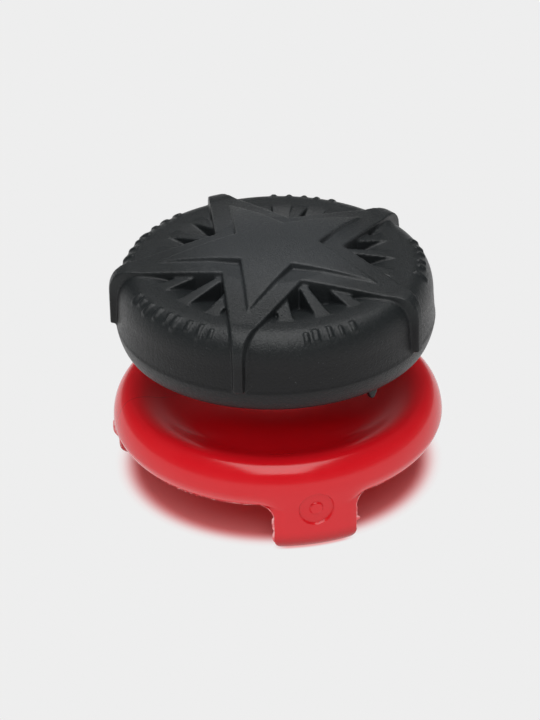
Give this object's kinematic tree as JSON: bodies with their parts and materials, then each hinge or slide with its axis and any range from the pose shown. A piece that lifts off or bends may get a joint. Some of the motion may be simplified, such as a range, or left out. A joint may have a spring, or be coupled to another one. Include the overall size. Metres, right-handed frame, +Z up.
{
  "type": "controller thumb grip",
  "caption": "Clip-on thumb grip for a controller stick: a glossy red spool-shaped base with snap clips under a domed black rubber cap with a raised star, fins and spokes.",
  "frame": {"origin": "on the axis of the neck, on the surface that the three clip feet stand on", "axes": "+Z up along the axis of the neck, -Y towards the front clip with the round mark, +X to the right of someone who looks at that clip"},
  "size_m": [0.023, 0.023, 0.0179],
  "materials": {
    "clip_base": "glossy red moulded plastic with thin flash along the skirt and clips",
    "rubber_cap": "matte black rubber with a fine moulded grain"
  },
  "bodies": {
    "root": {"clip_base": "clip_base", "rubber_cap": "rubber_cap"}
  },
  "joints": []
}
